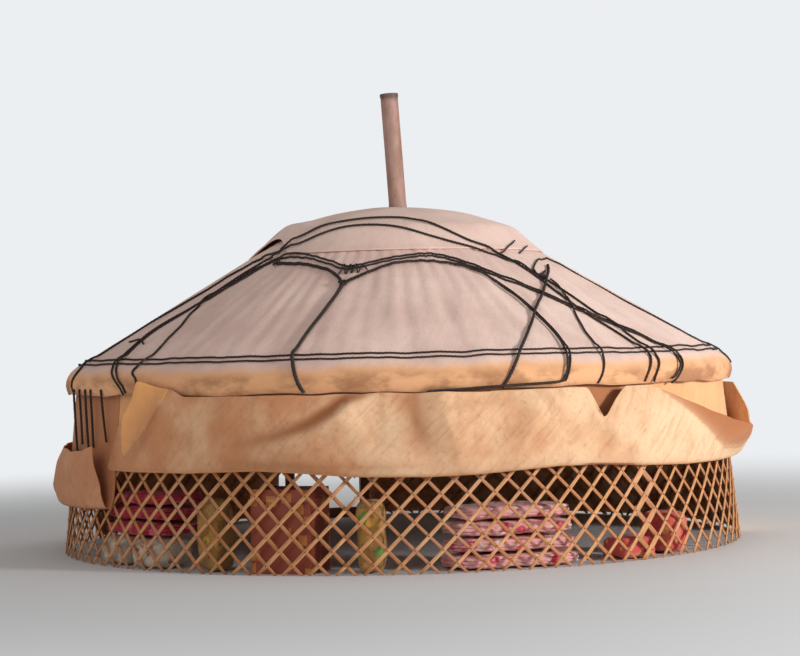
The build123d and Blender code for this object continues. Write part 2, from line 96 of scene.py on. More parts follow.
def piece(name, patches, finishes, nodes):
    """Makes one mesh of the patches, and stands it in the scene."""
    corners, faces, lengths, tones, paints, base = [], [], [], [], [], 0
    for part in patches:
        rows, columns = part["points"].shape[:2]
        corners.append(part["points"].reshape(-1, 3))
        tones.append(np.broadcast_to(part["tone"], (rows, columns)).ravel())
        spans = columns if part["ring"] else columns - 1
        row, column = np.meshgrid(np.arange(rows - 1), np.arange(spans), indexing="ij")
        beside = (column + 1) % columns
        quads = base + np.stack([
            row * columns + column,
            row * columns + beside,
            (row + 1) * columns + beside,
            (row + 1) * columns + column,
        ], -1).reshape(-1, 4)
        faces += quads.tolist()
        along, across = np.asarray(part["along"], float), np.asarray(part["across"], float)
        lengths.append(np.stack([
            along[row], across[column],
            along[row], across[column + 1],
            along[row + 1], across[column + 1],
            along[row + 1], across[column],
        ], -1).reshape(-1, 2))
        paints += [part["paint"]] * len(quads)
        if part["caps"]:
            for end_row in (0, rows - 1):
                faces.append([base + end_row * columns + n for n in range(columns)])
                lengths.append(np.zeros((columns, 2)))
                paints.append(part["paint"])
        base += rows * columns
    mesh = bpy.data.meshes.new(name)
    mesh.from_pydata(np.concatenate(corners).tolist(), [], faces)
    mesh.uv_layers.new(name="lengths").data.foreach_set("uv", np.concatenate(lengths).ravel())
    mesh.attributes.new("tone", "FLOAT", "POINT").data.foreach_set("value", np.concatenate(tones))
    mesh.polygons.foreach_set("use_smooth", [True] * len(faces))
    mesh.polygons.foreach_set("material_index", paints)
    made = bmesh.new()
    made.from_mesh(mesh)
    bmesh.ops.recalc_face_normals(made, faces=made.faces)
    made.to_mesh(mesh)
    made.free()
    return stand(name, mesh, finishes, nodes)


class Wire:
    """One value in a finish. Arithmetic on it adds Math nodes."""

    def __init__(self, finish, socket):
        self.finish, self.socket = finish, socket

    def maths(self, operation, *values):
        return self.finish.node("Math", {"operation": operation}, dict(enumerate(values)))

    def __add__(self, other):
        return self.maths("ADD", self, other)

    def __sub__(self, other):
        return self.maths("SUBTRACT", self, other)

    def __rsub__(self, other):
        return self.maths("SUBTRACT", other, self)

    def __mul__(self, other):
        return self.maths("MULTIPLY", self, other)

    __radd__, __rmul__ = __add__, __mul__

    def rise(self, low, high):
        """0 below low, 1 above high and smooth between."""
        settings = {"interpolation_type": "SMOOTHSTEP"}
        return self.finish.node("MapRange", settings, {0: self, 1: low, 2: high, 3: 0.0, 4: 1.0})


class Finish:
    """A material being mixed: its nodes, and what they feed."""

    def __init__(self, name, sheen=0.0):
        self.material = bpy.data.materials.new(name)
        self.material.use_nodes = True
        self.tree = self.material.node_tree
        self.shader = self.tree.nodes["Principled BSDF"]
        self.shader.inputs["Sheen Weight"].default_value = sheen
        self.here = self.node("TexCoord", {}, {}, "Object")
        self.lengths = self.node("UVMap", {"uv_map": "lengths"}, {})
        self.tone = self.node("Attribute", {"attribute_name": "tone"}, {}, "Fac")

    def node(self, kind, settings, inputs, output=0):
        """Adds a node: its settings first, then its sockets' values or links."""
        made = self.tree.nodes.new("ShaderNode" + kind)
        for name, value in settings.items():
            setattr(made, name, value)
        for name, value in inputs.items():
            self.feed(made.inputs[name], value)
        return Wire(self, made.outputs[output])

    def feed(self, socket, value):
        """Links a wire to a socket, or sets the socket to a value."""
        if isinstance(value, Wire):
            self.tree.links.new(value.socket, socket)
        elif isinstance(value, tuple) and socket.type == "RGBA":
            socket.default_value = (*value, 1)
        else:
            socket.default_value = value

    def blend(self, share, one, other):
        """One colour turning into another by a share."""
        return self.node("Mix", {"data_type": "RGBA"}, {0: share, 6: one, 7: other}, 2)

    def clouds(self, scale, detail=3.0, rough=0.55, where=None, stretch=(1, 1, 1)):
        """Soft random patches, so many to a metre."""
        where = self.here if where is None else where
        spread = self.node("Mapping", {}, {"Vector": where, "Scale": stretch})
        sockets = {"Vector": spread, "Scale": scale, "Detail": detail, "Roughness": rough}
        return self.node("TexNoise", {}, sockets)

    def axis(self, letter):
        """The X, Y or Z of a point, in metres."""
        return self.node("SeparateXYZ", {}, {0: self.here}, letter)

    def from_middle(self, x, y):
        """Distance from the upright line through the middle."""
        return self.node("Math", {"operation": "SQRT"}, {0: x * x + y * y})

    def round_about(self):
        """Distance from the middle, metres round the wall from the front and height, as one vector."""
        x, y = self.axis("X"), self.axis("Y")
        away = self.from_middle(x, y)
        turn = self.node("Math", {"operation": "ARCTAN2"}, {0: x, 1: y * -1.0})
        usual_radius = 3.0
        return self.node("CombineXYZ", {}, {0: away, 1: turn * usual_radius, 2: self.axis("Z")})

    def done(self, colour, rough, relief=None, depth=0.002, metal=None):
        """Feeds the shader and gives the finished material. Relief is raised by depth in metres."""
        self.feed(self.shader.inputs["Base Color"], colour)
        self.feed(self.shader.inputs["Roughness"], rough)
        if metal is not None:
            self.feed(self.shader.inputs["Metallic"], metal)
        if relief is not None:
            normal = self.node("Bump", {}, {"Strength": 1.0, "Distance": depth, "Height": relief})
            self.feed(self.shader.inputs["Normal"], normal)
        return self.material


def wood(name, pale, dark, grey=0.25, run=None):
    """Weathered wood with its grain along the piece, or stretched by run in cylinder directions."""
    mix = Finish(name)
    where, stretch = (mix.lengths, (0.35, 9, 1)) if run is None else (mix.round_about(), run)
    grain = mix.clouds(14, 5, 0.6, where, stretch)
    streaks = mix.clouds(60, 3, 0.6, where, tuple(0.8 * n for n in stretch))
    patches = mix.clouds(1.3, 2)
    colour = mix.blend(grain.rise(0.3, 0.75), dark, pale)
    # Low tones darken it: on the lattice the tone differs at random from lath to lath, and the inner
    # layer's low tones are painted shade.
    colour = mix.blend((1 - mix.tone) * 0.85, colour, dark)
    weathered = tuple(0.6 * max(pale) + 0.12 * c for c in pale)
    colour = mix.blend(patches.rise(0.45, 0.8) * grey, colour, weathered)
    colour = mix.blend(streaks.rise(0.6, 0.85) * 0.5, colour, tuple(c * 0.4 for c in dark))
    return mix.done(colour, 0.62 + 0.25 * patches, grain + streaks * 0.6, 0.0012)


lath_wood = wood("lath_wood", (0.95, 0.52, 0.23), (0.42, 0.15, 0.05), 0.12)
mix = Finish("rawhide")
rawhide = mix.done(mix.blend(mix.clouds(40), (0.10, 0.05, 0.03), (0.28, 0.16, 0.09)), 0.7)


def lumps(points, size, seed):
    """Smooth random heights, from about -1 to 1, at points in space."""
    flat = np.asarray(points, float).reshape(-1, 3) / size
    shift = Vector((seed * 7.31, seed * 3.17, seed * 1.93))
    values = [noise.noise(Vector(p) + shift) for p in flat]
    return np.array(values).reshape(np.shape(points)[:-1])


def facing(bearing):
    """The way out of the wall at bearings, a little upwards because the wall leans in."""
    out = place(bearing, 1.0, wall_lean)
    return out / np.linalg.norm(out, axis=-1, keepdims=True)


chance = np.random.default_rng(7)
# A lath is cut through as a flat bar with its corners taken off; edges say how far round each is.
lath_corners = np.array([
    (1, 0.55), (0.78, 1), (-0.78, 1), (-1, 0.55), (-1, -0.55), (-0.78, -1), (0.78, -1), (1, -0.55),
])
lath_edges = np.array([0, 0.008, 0.034, 0.042, 0.05, 0.058, 0.084, 0.092, 0.1])
lath_clear, lath_widths, grain_run = 1.03, (0.86, 1.08), 1.45
# The inner layer's laths take low tones, so they come out darker than the outer ones: painted shade behind
# the outer layer.
outer_tones, inner_tones = (0.75, 1.0), (0.0, 0.3)
# A rawhide pin's head: its radius, and how far it stands out of the lath, from its foot to its top.
pin_steps = ((0.0075, 0), (0.006, 0.0035), (0.0015, 0.005))
pin_clear, pin_sides = 1.02, 6


def lath(base, lean, low, high):
    """A lath of the outer layer, where lean is 1, or of the inner one, where it is -1. It is a little
    bent and uneven, as split wood is, and crosses the lowest row of pins at the base's bearing."""
    height = np.linspace(low, high, max(3, int((high - low) / lath_step) + 2))
    bends = chance.normal(0, 1, lath_bends)
    bend_heights = np.linspace(0, wall_height, lath_bends)
    wobble = bend_size * np.interp(height, bend_heights, bends) / 3
    bearing = first_bearing + head_angle * (base + lean * (height - lowest_row) / diamond_height)
    radius = wall_radius(height) + lean * lath_thick / 2 * lath_clear
    line = place(bearing, radius, height)
    out = facing(bearing)
    run = np.gradient(line, axis=0)
    run /= np.linalg.norm(run, axis=-1, keepdims=True)
    side = np.cross(run, out)
    line = line + side * wobble[:, None]
    width = lath_width / 2 * chance.uniform(*lath_widths)
    outline = lath_corners * (width, lath_thick / 2)
    across, through = outline[None, :, :1], outline[None, :, 1:]
    grid = line[:, None] + side[:, None] * across + out[:, None] * through
    grid[..., 2] = np.clip(grid[..., 2], 0, wall_height)
    along = chance.uniform(0, 9) + height * grain_run
    tone = chance.uniform(*(outer_tones if lean > 0 else inner_tones))
    return patch(grid, ring=True, caps=True, along=along, across=lath_edges, tone=tone)


def pin(bearing, height):
    """The head of a rawhide pin, on the outer face of a crossing."""
    out = facing(bearing)
    side, up = np.cross((0, 0, 1), out), np.array((0, 0, 1.0))
    centre = place(bearing, wall_radius(height) + lath_thick * pin_clear, height)
    turn = np.radians(np.arange(pin_sides) * 360 / pin_sides)[:, None]
    disc = np.cos(turn) * side + np.sin(turn) * up
    rings = [centre + disc * size + out * lift for size, lift in pin_steps]
    return patch(rings, ring=True, caps=True, paint=1)


for section in range(sections):
    start, end = section * heads, (section + 1) * heads
    shift = section_shifts[section]
    low_end, high_end = start, end
    if section > 0 and shift != section_shifts[section - 1]:
        low_end = start - 0.5
    if section < sections - 1 and shift != section_shifts[section + 1]:
        high_end = end + 0.5
    patches = []
    for lean in (1, -1):
        for base in np.arange(start - 9, end + 10) + shift:
            limits = [(low_end - base) * lean, (high_end - base) * lean]
            low = max(0.0, lowest_row + min(limits) * diamond_height)
            high = min(wall_height, lowest_row + max(limits) * diamond_height)
            if high - low >= shortest_lath:
                patches.append(lath(base, lean, low, high))
    for row in range(rows_of_pins):
        height = lowest_row + row * diamond_height / 2
        for column in range(start, end + (section == sections - 1)):
            bearing = first_bearing + head_angle * (column + 0.5 * (row % 2) + shift)
            patches.append(pin(bearing, height))
    number = section + 1
    node = "lattice_section_%d" % number
    piece("lattice_%d" % number, patches, [lath_wood, rawhide], [node])

# Poles, crown and door frame. Square poles run from the forks of the lattice up to a heavy bent
# rim, and arched spokes carry its dome; the door's posts stand in the gap of the lattice. All of
# it is painted or tarred red-brown wood, jointed and pegged.
pole_wood = wood("pole_wood", (0.46, 0.20, 0.09), (0.24, 0.085, 0.035), 0.12, (0.35, 6.7, 9))
crown_wood = wood("crown_wood", (0.40, 0.15, 0.07), (0.20, 0.06, 0.03), 0.1, (9, 0.2, 9))
door_wood = wood("door_wood", (0.50, 0.20, 0.10), (0.27, 0.09, 0.045), 0.2, (9, 6.7, 0.35))


def dress(node, finish):
    """Gives a CAD node a better finish."""
    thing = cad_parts[node]
    thing.data.materials.clear()
    thing.data.materials.append(finish)


for quarter in ("back_left", "front_left", "front_right", "back_right"):
    dress("roof_poles_" + quarter, pole_wood)
dress("crown_rim", crown_wood)
dress("crown_spokes", crown_wood)
dress("door_posts", door_wood)
dress("door_lintel_and_threshold", door_wood)

# Roof felt. A thick sheet of pressed sheep's wool, cut as part of a ring and drawn round the poles
# until it closes. Its lower edge hangs over the head of the wall as a swollen, stained hem.
shoulder_radius, shoulder_height = 2.900, 1.650
roof_pitch = np.radians(30.7)
felt_thick = 0.012
felt_top, felt_bend = 1.015, 2.880
hem_top, hem_depth = 1.66, 0.25


def cone(radius):
    """Height of the roof felt's outer face."""
    return shoulder_height + (shoulder_radius - radius) * np.tan(roof_pitch)


def flow(points, count):
    """A smooth line of so many points through the given ones."""
    points = np.asarray(points, float)
    last = len(points) - 1
    before, after = 2 * points[:1] - points[1:2], 2 * points[-1:] - points[-2:-1]
    ends = np.concatenate([before, points, after])
    where = np.linspace(0, last, count)
    span = np.minimum(where.astype(int), last - 1)
    t = (where - span).reshape((-1,) + (1,) * (points.ndim - 1))
    a, b, c, d = ends[span], ends[span + 1], ends[span + 2], ends[span + 3]
    return 0.5 * (2 * b + (c - a) * t + (2 * a - 5 * b + 4 * c - d) * t**2 + (3 * b - a - 3 * c + d) * t**3)


def evenly(line, step):
    """The same line with its points a step apart, and how far along it each is."""
    run = np.concatenate([[0], np.cumsum(np.linalg.norm(np.diff(line, axis=0), axis=1))])
    where = np.linspace(0, run[-1], max(3, int(run[-1] / step) + 1))
    return np.stack([np.interp(where, run, line[:, k]) for k in range(line.shape[1])], -1), where


def felt(name, pale, warm, stain_and_shade, dirt=0.3, hem=None, side_shade=0.0, clean_and_highlight=None):
    """Pressed wool: mottled, fibrous, streaked, and stained at a hem where water and smoke reach it.
    Its side shade turns it warmer and darker towards -X: painted shade on the side away from the key
    lamp. A tone over 0.5 makes it paler, a painted highlight, and a tone under 0.5 darker, painted shade."""
    mix = Finish(name, sheen=0.06)
    mottle = mix.clouds(1.7, 4, 0.6)
    fine = mix.clouds(24, 4, 0.65)
    fibres = mix.clouds(150, 2, 0.6, None, (1, 1, 2.2))
    streaks_and_shade = mix.clouds(5, 4, 0.6, mix.round_about(), (0.25, 1.1, 0.5))
    turned = {"Vector": mix.round_about(), "Angle": 0.75}
    slant = mix.node("VectorRotate", {"rotation_type": "X_AXIS"}, turned)
    combed = mix.clouds(9, 3, 0.6, slant, (0.3, 3.0, 0.35))
    # Painted side shade: darker and warmer towards -X, away from the key lamp.
    colour = mix.blend((mottle - mix.axis("X") * side_shade).rise(0.25, 0.75), pale, warm)
    combings = tuple(0.6 * a + 0.4 * b for a, b in zip(warm, stain_and_shade))
    colour = mix.blend(combed.rise(0.45, 0.8) * dirt, colour, combings)
    colour = mix.blend(fine.rise(0.52, 0.75) * (dirt * 0.7), colour, stain_and_shade)
    # Dark streaks down the felt: partly stains, partly painted shade of its wrinkles.
    colour = mix.blend(streaks_and_shade.rise(0.5, 0.8) * dirt, colour, stain_and_shade)
    if hem:
        low, high, tan = hem
        edge = mix.axis("Z") + 0.10 * (mottle - 0.5) + 0.06 * (streaks_and_shade - 0.5)
        colour = mix.blend((1 - edge.rise(low, high)) * 0.85, colour, tan)
        patches = mix.clouds(3.2, 4, 0.6, mix.round_about(), (0.4, 0.7, 1.4)).rise(0.38, 0.60)
        share = (1 - edge.rise(low - 0.07, low + 0.04)) * patches * 0.9
        colour = mix.blend(share, colour, tuple(1.1 * c for c in stain_and_shade))
    # Painted highlight where the tone is over 0.5, towards the clean and highlight colour, and painted
    # shade where it is under 0.5, towards a stronger stain colour.
    colour = mix.blend(mix.tone.rise(0.5, 1.0), colour, clean_and_highlight or pale)
    colour = mix.blend(1 - mix.tone.rise(0.0, 0.5), colour, tuple(1.25 * c for c in stain_and_shade))
    colour = mix.blend(fibres.rise(0.35, 0.75) * 0.14, colour, tuple(0.45 * c for c in pale))
    return mix.done(colour, 0.93, fine * 0.6 + fibres * 0.4 + combed * 0.5, 0.004)


roof_hem = (1.56, 1.65, (0.90, 0.43, 0.17))
roof_felt = felt("roof_felt", (0.97, 0.71, 0.60), (0.80, 0.54, 0.46), (0.40, 0.17, 0.07), 0.20,
                 hem=roof_hem, side_shade=0.06)
hem_line = [(2.930, 1.628), (2.968, 1.592), (2.996, 1.545), (3.004, 1.495), (2.996, 1.450), (2.982, 1.412)]
eaves = flow([(r, cone(r)) for r in np.linspace(felt_top, felt_bend, 12)] + hem_line, 300)
eaves = evenly(eaves, 0.04)[0]
bearings = np.arange(0, 360, 0.6)
radius, height = eaves[:, 0][:, None], eaves[:, 1][:, None]
grid = place(bearings[None, :], radius, height)
hang = np.clip((hem_top - height) / hem_depth, 0, 1)


def wrinkled(spots):
    """How far the roof felt stands out: over the poles, in long folds down the slope, and at the hem."""
    away = np.hypot(spots[..., 0], spots[..., 1])
    down = np.clip((hem_top - spots[..., 2]) / hem_depth, 0, 1)
    bearing = np.degrees(np.arctan2(spots[..., 0], -spots[..., 1]))
    over_poles = np.cos(np.radians((bearing - first_bearing) * 360 / head_angle)) ** 3
    out = 0.003 * over_poles * (1 - down) * np.clip((3.0 - away) / 0.4, 0, 1)
    round_to = np.stack([spots[..., 0] / away * 3, spots[..., 1] / away * 3, away * 0.35], -1)
    folds = 0.012 * lumps(round_to, 0.30, 12) + 0.007 * lumps(round_to, 0.13, 13)
    out = out + folds * (1 - down) * np.clip(away - 1, 0, 1)
    out = out + 0.006 * down * lumps(spots * (1, 1, 0.4), 0.11, 3)
    out = out + 0.010 * down * lumps(spots * (1, 1, 0.3), 0.42, 4)
    return out + 0.004 * lumps(spots, 0.5, 5) * (1 - 0.5 * down) - 0.004


swell = wrinkled(grid)
lower = 0.022 * hang**2 * lumps(place(bearings, 3.0, 0.0)[None, :] + 0 * grid, 0.33, 6)
outwards = place(bearings[None, :], np.sin(roof_pitch) + 0.45 * hang, np.cos(roof_pitch) - 0.6 * hang)
grid = grid + outwards * swell[..., None]
grid[..., 2] += lower - felt_thick / 2
bays = ["roof_felt_%d" % n for n in range(1, 9)]
roof = piece("roof_felt", [patch(grid, ring=True)], [roof_felt], bays)


def thicken(thing, thick):
    """Gives a sheet its thickness, with its cut edges rounded."""
    solid = thing.modifiers.new("thickness", "SOLIDIFY")
    solid.thickness, solid.offset = thick, 0
    soft = thing.modifiers.new("soft_edge", "BEVEL")
    soft.width, soft.segments, soft.limit_method, soft.angle_limit = thick * 0.3, 2, "ANGLE", 1.0


thicken(roof, felt_thick)

# Crown cover. A round felt cap stretched over the spokes and tied down, with a mouth held open at
# one side to let smoke and light through.
cap_felt = felt("cap_felt", (0.97, 0.71, 0.60), (0.82, 0.56, 0.47), (0.50, 0.26, 0.12), 0.15, side_shade=0.06)
cap_radius, cap_over_spokes, cap_over_roof = 1.345, 0.0178, 0.0165
spoke_top, spoke_arc = 3.015, 2.8
mouth_bearing, mouth_width, mouth_lift = -66.0, 22.0, 0.165
mouth_top, mouth_reach, mouth_pull = 0.72, 0.625, 1.15


def dome(radius):
    """Height of the top of the spokes."""
    return spoke_top - spoke_arc + np.sqrt(spoke_arc**2 - np.asarray(radius) ** 2)


cap_line = [(r, dome(r) + cap_over_spokes) for r in (0.132, 0.3, 0.5, 0.7, 0.886, 1.0, 1.083)]
cap_line += [(1.155, 2.758), (1.225, 2.692), (1.29, 2.632), (cap_radius, cone(cap_radius) + cap_over_roof)]
cap_profile = evenly(flow(cap_line, 200), 0.028)[0]


def mouth(bearing, radius):
    """How far the cap is lifted off at its mouth."""
    off = np.clip(np.abs((bearing - mouth_bearing + 180) % 360 - 180) / mouth_width, 0, 1)
    return mouth_lift * np.cos(off * np.pi / 2) * np.clip((radius - mouth_top) / mouth_reach, 0, 1) ** 1.6


radius, height = cap_profile[:, 0][:, None], cap_profile[:, 1][:, None]
bearings = np.arange(0, 360, 1.0)
grid = place(bearings[None, :], radius, height)
lifted = mouth(bearings[None, :], radius)
outward = np.clip((radius - 0.9) / 0.4, 0, 1)
crease = 0.006 * outward * lumps(place(bearings, 1.3, 0.0)[None, :] + 0 * grid, 0.16, 8)
crease = crease + 0.005 * lumps(grid, 0.3, 9) - 0.002
crease = crease * np.clip((cap_radius - radius) / 0.1, 0.25, 1)
grid = grid + place(bearings[None, :], 0.55 * outward, 1.0 - 0.3 * outward) * crease[..., None]
grid = grid + place(bearings[None, :], -mouth_pull * lifted, lifted)
grid[..., 2] -= felt_thick / 2
cap = piece("crown_cap", [patch(grid, ring=True)], [cap_felt], ["crown_cover", "crown_flap"])
thicken(cap, felt_thick)

# Wall felt. Long strips of the same felt, hung on the lattice under the roof's hem. In front and at
# the left each is turned up outside and its foot hangs as a soft roll, tucked or tied at the top; one
# gapes at its right end and another hangs low. Behind they hang down to the ground.
wall_felt = felt("wall_felt", (0.92, 0.60, 0.36), (0.66, 0.28, 0.125), (0.36, 0.12, 0.04), 0.42,
                 side_shade=0.075, clean_and_highlight=(1.0, 0.46, 0.15))
strip_head, strip_foot, strip_radius, rear_length = 1.58, 0.022, 3.0, 1.57
inner_gap, rear_gap = 0.0235, 0.021
fold_middle, fold_belly, fold_radius = 0.075, 0.045, 3.08


def crest(bearing, height, line, rise, left, right, sharp=1.5):
    """How far the felt stands out at a fold: a crest line of (bearing, height) with its rise, and the
    width of its flanks to the left and right of the line's run, at each of its points."""
    line = np.array(line, float)
    marks = np.arange(len(line))
    x, z = np.radians(bearing) * fold_radius, height
    line_x, line_z = np.radians(line[:, 0]) * fold_radius, line[:, 1]
    nearest = np.full(np.broadcast(x, z).shape, 1e9)
    out = 0 * nearest
    for n in marks[:-1]:
        dx, dz = line_x[n + 1] - line_x[n], line_z[n + 1] - line_z[n]
        share = ((x - line_x[n]) * dx + (z - line_z[n]) * dz) / (dx * dx + dz * dz)
        share = np.clip(share, 0, 1)
        aside, above = x - line_x[n] - share * dx, z - line_z[n] - share * dz
        gap = np.hypot(aside, above)
        on_left = dx * above > dz * aside
        width = np.where(on_left, np.interp(n + share, marks, left), np.interp(n + share, marks, right))
        here = np.interp(n + share, marks, rise) * np.clip(1 - gap / width, 0, 1) ** sharp
        out = np.where(gap < nearest, here, out)
        nearest = np.minimum(gap, nearest)
    return out


def turned_up(name, nodes, start, end, foot, top, flare, folds, seed, lean,
              inner=0, painted_light=(), inside=((0, 1), (0.2, 0.2)), drawn_in=0):
    """A strip of wall felt: down the lattice, round its fold and up again outside. Its foot, its top
    and how far the top flares off the wall are lines of (bearing, metres). lean and inner slant its
    ends, inside gives the tone of its inner face, where a low tone is painted shade, crests of tone
    paint shade and highlight on its outer face, and drawn_in pulls its far end onto the wall."""
    rows, end_reach = 84, 14
    bearing = np.linspace(start, end, int(abs(end - start) / 0.4) + 1)
    foot, top, flare = (np.interp(bearing, *zip(*line)) for line in (foot, top, flare))
    middle = wall_radius(foot) + fold_middle
    belly = middle + fold_belly
    hung = [strip_head + 0 * foot, 1.32 + 0 * foot, foot + 0.33, foot + 0.13]
    route = [np.stack([wall_radius(z) + inner_gap, z], -1) for z in hung]
    route += [np.stack(pair, -1) for pair in (
        (wall_radius(foot) + 0.034, foot + 0.034),
        (middle - 0.008, foot + 0.004),
        (belly - 0.016, foot + 0.026),
        (belly, foot + 0.105),
        (belly - 0.002, foot + 0.40 * (top - foot)),
        (belly - 0.010 + 0.35 * flare, foot + 0.70 * (top - foot)),
        (wall_radius(top) + 0.098 + flare, top),
    )]
    lines = flow(np.array(route), rows)
    radius, height = lines[..., 0], lines[..., 1]
    outer = np.clip((np.linspace(0, len(route) - 1, rows)[:, None] - 5.2) / 1.6, 0, 1)
    up = outer * np.clip((height - foot) / (top - foot), 0, 1)
    near_start, near_end = (
        np.clip(1 - np.abs(bearing - side) / end_reach, 0, 1) ** 2 for side in (start, end)
    )
    slant = up * (lean[0] * near_start + lean[1] * near_end)
    round_to = bearing + slant + inner * near_start * (1 - outer)
    spots = place(round_to, strip_radius, height)
    out = 0.012 * outer * lumps(spots * (1, 1, 1.3), 0.55, seed)
    out = out + 0.006 * outer * lumps(spots, 0.17, seed + 1)
    out = out + 0.002 * outer * lumps(spots, 0.06, seed + 3) - 0.003 * (1 - outer)
    for fold in folds:
        out = out + outer * crest(round_to, height, *fold)
    waves = lumps(place(bearing, strip_radius, 0.0)[None, :] + 0 * spots, 0.25, seed + 2)
    height = height + outer * 0.010 * waves
    # The inner face takes its tone from inside, and crests of tone paint shade and highlight on the outer
    # face.
    tone = np.where(outer > 0.4, 0.5, np.interp(round_to, *inside))
    for stain_and_shade in painted_light:
        tone = tone + (outer > 0.4) * crest(round_to, height, *stain_and_shade)
    shut = drawn_in * outer * np.clip((bearing - end + 7) / 5, 0, 1) ** 1.5
    radius = (radius + out) * (1 - shut) + (wall_radius(height) + 0.053) * shut
    grid = place(round_to, radius, height)
    strip = piece(name, [patch(grid, tone=tone)], [wall_felt], nodes)
    thicken(strip, felt_thick)


front_foot = [
    (-56, 0.80), (-46, 0.79), (-34, 0.79), (-22, 0.81), (-15, 0.79), (-7, 0.757), (4, 0.745), (11, 0.752),
    (17, 0.77), (24, 0.79), (31, 0.785), (40, 0.755), (50, 0.735), (63, 0.73), (78, 0.745), (92, 0.75),
]
front_top = [
    (-56, 1.385), (-50, 1.39), (-45, 1.42), (-43.2, 1.515), (-42.4, 1.52), (-36.4, 1.45), (-34.6, 1.392),
    (29.2, 1.392), (29.8, 1.36), (31.2, 1.165), (31.8, 1.17), (35.6, 1.36), (36.4, 1.392), (42.5, 1.392),
    (49, 1.285), (54.7, 1.18), (62, 1.075), (70, 1.01), (77, 0.985), (81, 1.02), (83, 1.20),
    (84.5, 1.36), (92, 1.385),
]
front_flare = [
    (-56, 0.0), (-46, 0.02), (-43, 0.085), (-36.5, 0.065), (-33, 0.0), (26, 0.0), (30, 0.02),
    (31.4, 0.03), (36, 0.04), (40, 0.0), (44, 0.0), (54, 0.03), (62, 0.05), (78, 0.06), (83, 0.11),
    (85.5, 0.10), (88.9, 0.0),
]
front_folds = [
    (((-42.6, 1.52), (-44.9, 1.24), (-47.1, 0.95)),
     (0.065, 0.095, 0.015), (0.30, 0.20, 0.03), (0.03, 0.045, 0.03), 1.0),
    (((-3.6, 1.375), (-7.2, 1.32), (-8.8, 1.23), (-12.4, 1.115), (-17, 1.035), (-23, 0.975), (-31, 0.94)),
     (0.045, 0.092, 0.105, 0.098, 0.078, 0.050, 0.0), (0.22, 0.34, 0.40, 0.42, 0.38, 0.3, 0.2),
     (0.05, 0.080, 0.090, 0.095, 0.10, 0.12, 0.13)),
    (((6.0, 1.38), (6.6, 1.2), (7.8, 1.0), (8.5, 0.88)),
     (0.050, 0.075, 0.055, 0.010), (0.50, 0.5, 0.4, 0.3), (0.24, 0.26, 0.24, 0.2), 1.15),
    (((8.0, 1.345), (13.5, 1.35)), (-0.030, -0.022), (0.06, 0.05), (0.10, 0.09)),
    (((21.5, 1.37), (19, 1.1), (16.5, 0.88)),
     (0.015, 0.042, 0.018), (0.32, 0.32, 0.3), (0.2, 0.22, 0.2), 1.3),
    (((31.3, 1.17), (33.5, 1.0), (36.5, 0.85)), (0.040, 0.030, 0.0), (0.22, 0.25, 0.2), (0.10, 0.12, 0.12)),
    (((38.5, 1.39), (38.0, 1.2), (41, 0.95)), (0.015, 0.030, 0.0), (0.25, 0.25, 0.2), (0.12, 0.14, 0.12)),
    (((45.5, 1.36), (54.7, 1.18), (62, 1.075), (70, 1.01), (78, 0.985)),
     (0.0, 0.065, 0.100, 0.090, 0.045), (0.1, 0.15, 0.2, 0.2, 0.2), (0.04, 0.15, 0.26, 0.24, 0.2), 1.0),
    (((60.2, 0.85), (66, 0.94), (72, 1.0)), (0.012, 0.030, 0.02), (0.1, 0.1, 0.08), (0.2, 0.2, 0.2), 1.2),
    (((68, 0.90), (80, 0.92), (90, 0.95)), (0.030, 0.045, 0.045), (0.4, 0.45, 0.5), (0.3, 0.3, 0.3), 1.2),
    (((-30, 1.2), (-36, 1.0)), (-0.018, -0.02), (0.22, 0.2), (0.22, 0.2)),
]
# Crests of tone on the front strip: a painted highlight on the turned-over corner at the left, where the
# cleaner inner face shows, and painted shade at the margin and flank beside it, under the long wrinkle, in
# the dent, under the drooping edge at the right end and along the foot of the fold.
front_painted_light = [
    (((-42.6, 1.52), (-44.9, 1.24), (-47.1, 0.95)),
     (0.5, 0.5, 0.4), (0.31, 0.21, 0.03), (0.012, 0.012, 0.01), 0.1),
    (((-5.5, 1.384), (-8.6, 1.345), (-10.2, 1.263), (-13.8, 1.156), (-18.1, 1.078), (-24, 1.016)),
     (-0.35, -0.50, -0.50, -0.46, -0.36, -0.2), (0.05, 0.06, 0.07, 0.07, 0.08, 0.09),
     (0.05, 0.07, 0.08, 0.08, 0.09, 0.1), 0.7),
    (((1.2, 1.33), (3.2, 1.06)), (-0.34, -0.3), (0.18, 0.16), (0.16, 0.16), 0.8),
    (((45.5, 1.36), (54.7, 1.18), (62, 1.075), (70, 1.01)),
     (-0.3, -0.48, -0.5, -0.45), (0.05, 0.05, 0.05, 0.05), (0.04, 0.14, 0.25, 0.20), 0.25),
    (((-49, 1.30), (-50, 0.90)), (-0.35, -0.35), (0.12, 0.12), (0.14, 0.14), 0.8),
    (((-39, 1.30), (-42, 1.05), (-45, 0.90)),
     (-0.30, -0.32, -0.2), (0.10, 0.10, 0.1), (0.34, 0.30, 0.2), 1.0),
    (((-25, 0.87), (-5, 0.83), (8, 0.84)),
     (-0.15, -0.22, -0.1), (0.10, 0.10, 0.1), (0.06, 0.06, 0.06), 1.0),
]
